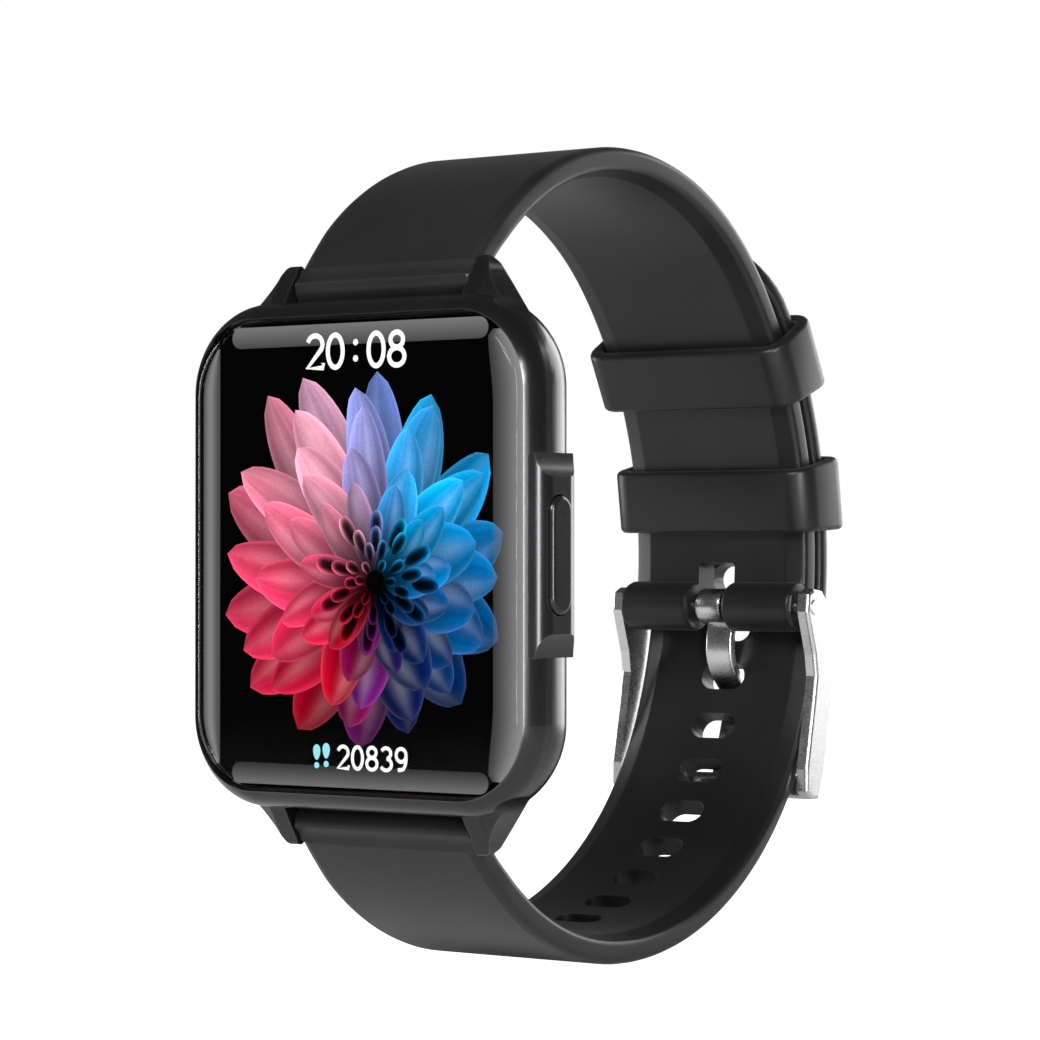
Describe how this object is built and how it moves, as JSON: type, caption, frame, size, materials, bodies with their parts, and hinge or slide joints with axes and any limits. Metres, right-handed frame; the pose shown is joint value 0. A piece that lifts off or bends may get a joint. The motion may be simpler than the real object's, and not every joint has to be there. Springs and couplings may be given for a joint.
{
  "type": "smartwatch",
  "caption": "Rectangular smartwatch with a lit screen, a side button and a buckled silicone band that hangs on quick-release bars.",
  "frame": {"origin": "centre of the flat outer face of the rear sensor window", "axes": "+X the button side, -Y the way the screen faces, +Z twelve o'clock"},
  "size_m": [0.0395, 0.0621, 0.0737],
  "materials": {
    "case_metal": "dark grey, satin gloss",
    "cover_glass": "black backed, polished, curved edge",
    "screen": null,
    "silicone": "soft matte black",
    "polished_steel": "polished with fine brushing",
    "spring_steel": "brushed",
    "inner_plastic": "moulded",
    "cover_plastic": "fine moulded texture",
    "board_green": "circuit board",
    "chip_black": "moulded",
    "lamp_white": "clear",
    "window_dark": "polished, dark tint",
    "battery_wrap": "foil",
    "film_amber": "thin film",
    "gold_pins": "gold plated",
    "seal_rubber": "soft"
  },
  "bodies": {
    "watch": {"antenna_strip": "film_amber", "back_cover": "cover_plastic", "back_screws": "spring_steel", "back_seal": "seal_rubber", "battery": "battery_wrap", "battery_connector": "inner_plastic", "battery_lead": "film_amber", "button_seal": "seal_rubber", "button_spring": "spring_steel", "case": "case_metal", "charging_magnets": "spring_steel", "charging_pins": "gold_pins", "cover_glass": "cover_glass", "display_flex": "film_amber", "display_panel": "screen", "glass_seal": "seal_rubber", "inner_frame": "inner_plastic", "main_board": "board_green", "memory": "chip_black", "motor_can": "spring_steel", "motor_shaft": "spring_steel", "processor": "chip_black", "radio_shield": "spring_steel", "sensor_board": "board_green", "sensor_diodes": "chip_black", "sensor_lights": "lamp_white", "sensor_window": "window_dark", "switch_body": "inner_plastic"},
    "button": {"side_button": "case_metal", "button_clip": "spring_steel"},
    "plunger": {"switch_plunger": "inner_plastic"},
    "rotor": {"motor_rotor": "spring_steel"},
    "band": {"upper_strap": "silicone", "lower_strap": "silicone", "fixed_keeper": "silicone", "buckle_bar": "polished_steel", "upper_bar_tube": "spring_steel", "upper_bar_spring": "spring_steel", "lower_bar_tube": "spring_steel", "lower_bar_spring": "spring_steel"},
    "loop": {"free_keeper": "silicone"},
    "frame": {"buckle_frame": "polished_steel"},
    "tongue": {"buckle_tongue": "polished_steel"},
    "upper_latch": {"upper_bar_slider": "spring_steel"},
    "lower_latch": {"lower_bar_slider": "spring_steel"}
  },
  "joints": [
    {"name": "button_press", "type": "slide", "parent": "watch", "child": "button", "axis": [-1, 0, 0], "range_m": [0, 0.0003], "deforming": ["button_spring"]},
    {"name": "switch_press", "type": "slide", "parent": "watch", "child": "plunger", "axis": [-1, 0, 0], "range_m": [0, 0.0003]},
    {"name": "motor_spin", "type": "hinge", "parent": "watch", "child": "rotor", "pos_m": [-0.008, -0.006, -0.014], "axis": [0, 1, 0], "continuous": true},
    {"name": "band_swing", "type": "hinge", "parent": "watch", "child": "band", "pos_m": [0, -0.0052, 0.0237], "axis": [1, 0, 0], "range_deg": [0, 70]},
    {"name": "keeper_slide", "type": "hinge", "parent": "band", "child": "loop", "pos_m": [0, 0.0054, 0], "axis": [1, 0, 0], "range_deg": [-8, 10]},
    {"name": "buckle_rock", "type": "hinge", "parent": "band", "child": "frame", "pos_m": [0, 0.04455, -0.005], "axis": [1, 0, 0], "range_deg": [0, 1]},
    {"name": "tongue_lift", "type": "hinge", "parent": "frame", "child": "tongue", "pos_m": [0, 0.04455, -0.005], "axis": [1, 0, 0], "range_deg": [0, 1]},
    {"name": "upper_release", "type": "slide", "parent": "band", "child": "upper_latch", "axis": [-1, 0, 0], "range_m": [0, 0.0018], "deforming": ["upper_bar_spring"]},
    {"name": "lower_release", "type": "slide", "parent": "band", "child": "lower_latch", "axis": [1, 0, 0], "range_m": [0, 0.0009], "deforming": ["lower_bar_spring"]}
  ],
  "couplings": [
    {"joint": "switch_press", "follows": "button_press", "ratio": 1}
  ]
}
